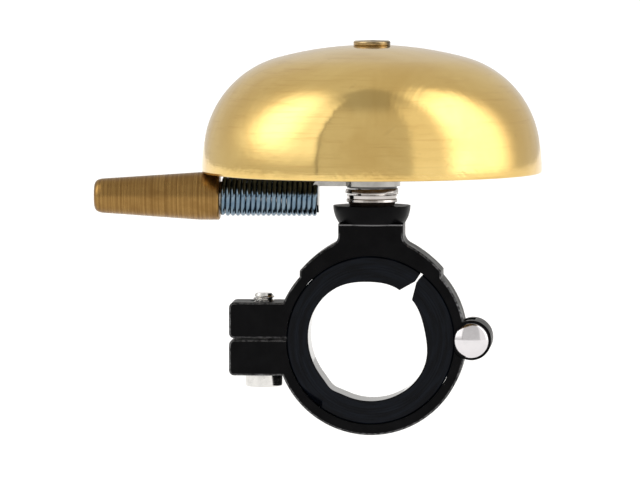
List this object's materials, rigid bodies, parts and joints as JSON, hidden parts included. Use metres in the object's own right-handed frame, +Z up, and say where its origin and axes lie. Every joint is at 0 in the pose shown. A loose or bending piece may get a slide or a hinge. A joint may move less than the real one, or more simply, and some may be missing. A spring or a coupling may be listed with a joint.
{
  "type": "bicycle bell",
  "caption": "Brass dome bell with a spring-mounted striker knob on a hinged handlebar clamp with a split reducing shim.",
  "frame": {"origin": "centre of the clamp's bore, on the handlebar's axis", "axes": "+Z up through the bell, bar along Y, striker towards -X, clamp hinge towards +X"},
  "size_m": [0.0845, 0.064, 0.0744],
  "materials": {
    "dome_brass": "polished",
    "knob_brass": "turned, aged",
    "screw_steel": "bright",
    "washer_steel": "bright",
    "plate_steel": "satin",
    "spring_zinc": "bright zinc",
    "pin_chrome": "polished",
    "clamp_black": "satin black anodised",
    "shim_plastic": "satin",
    "collar_plastic": "satin",
    "fibre": "matt",
    "nylon": "satin"
  },
  "bodies": {
    "clamp_and_bell": {"upper_clamp": "clamp_black", "bar_shim": "shim_plastic", "seat_collar": "collar_plastic", "thrust_washer": "washer_steel", "spring_washer": "washer_steel", "friction_washer": "nylon", "pivot_bush": "washer_steel", "spacer_sleeve": "washer_steel", "fibre_washer": "fibre", "bell_dome": "dome_brass", "centre_screw": "screw_steel", "hinge_pin": "pin_chrome", "hinge_washer": "washer_steel"},
    "striker_arm": {"striker_plate": "plate_steel", "spring_peg": "plate_steel", "striker_spring": "spring_zinc"},
    "striker": {"striker_knob": "knob_brass", "knob_stud": "plate_steel"},
    "lower_jaw": {"lower_clamp": "clamp_black"},
    "clamp_bolt": {"clamp_screw": "screw_steel"}
  },
  "joints": [
    {"name": "striker_swivel", "type": "hinge", "parent": "clamp_and_bell", "child": "striker_arm", "pos_m": [0, 0, 0.0289], "axis": [0, 0, 1], "continuous": true},
    {"name": "striker_bend", "type": "hinge", "parent": "striker_arm", "child": "striker", "pos_m": [-0.01978, 0, 0.02685], "axis": [0, -1, 0], "range_deg": [0, 30], "stiffness_Nm_per_rad": 0.05, "springref_deg": -2.29, "deforming": ["striker_spring"]},
    {"name": "clamp_hinge", "type": "hinge", "parent": "clamp_and_bell", "child": "lower_jaw", "pos_m": [0.019, 0, 0.0001], "axis": [0, -1, 0], "range_deg": [0, 60]},
    {"name": "clamp_screw_travel", "type": "slide", "parent": "lower_jaw", "child": "clamp_bolt", "axis": [0, 0, -1], "range_m": [0, 0.0137]}
  ],
  "couplings": [
    {"joint": "clamp_screw_travel", "follows": "clamp_hinge", "m_per_rad": 0.013}
  ]
}
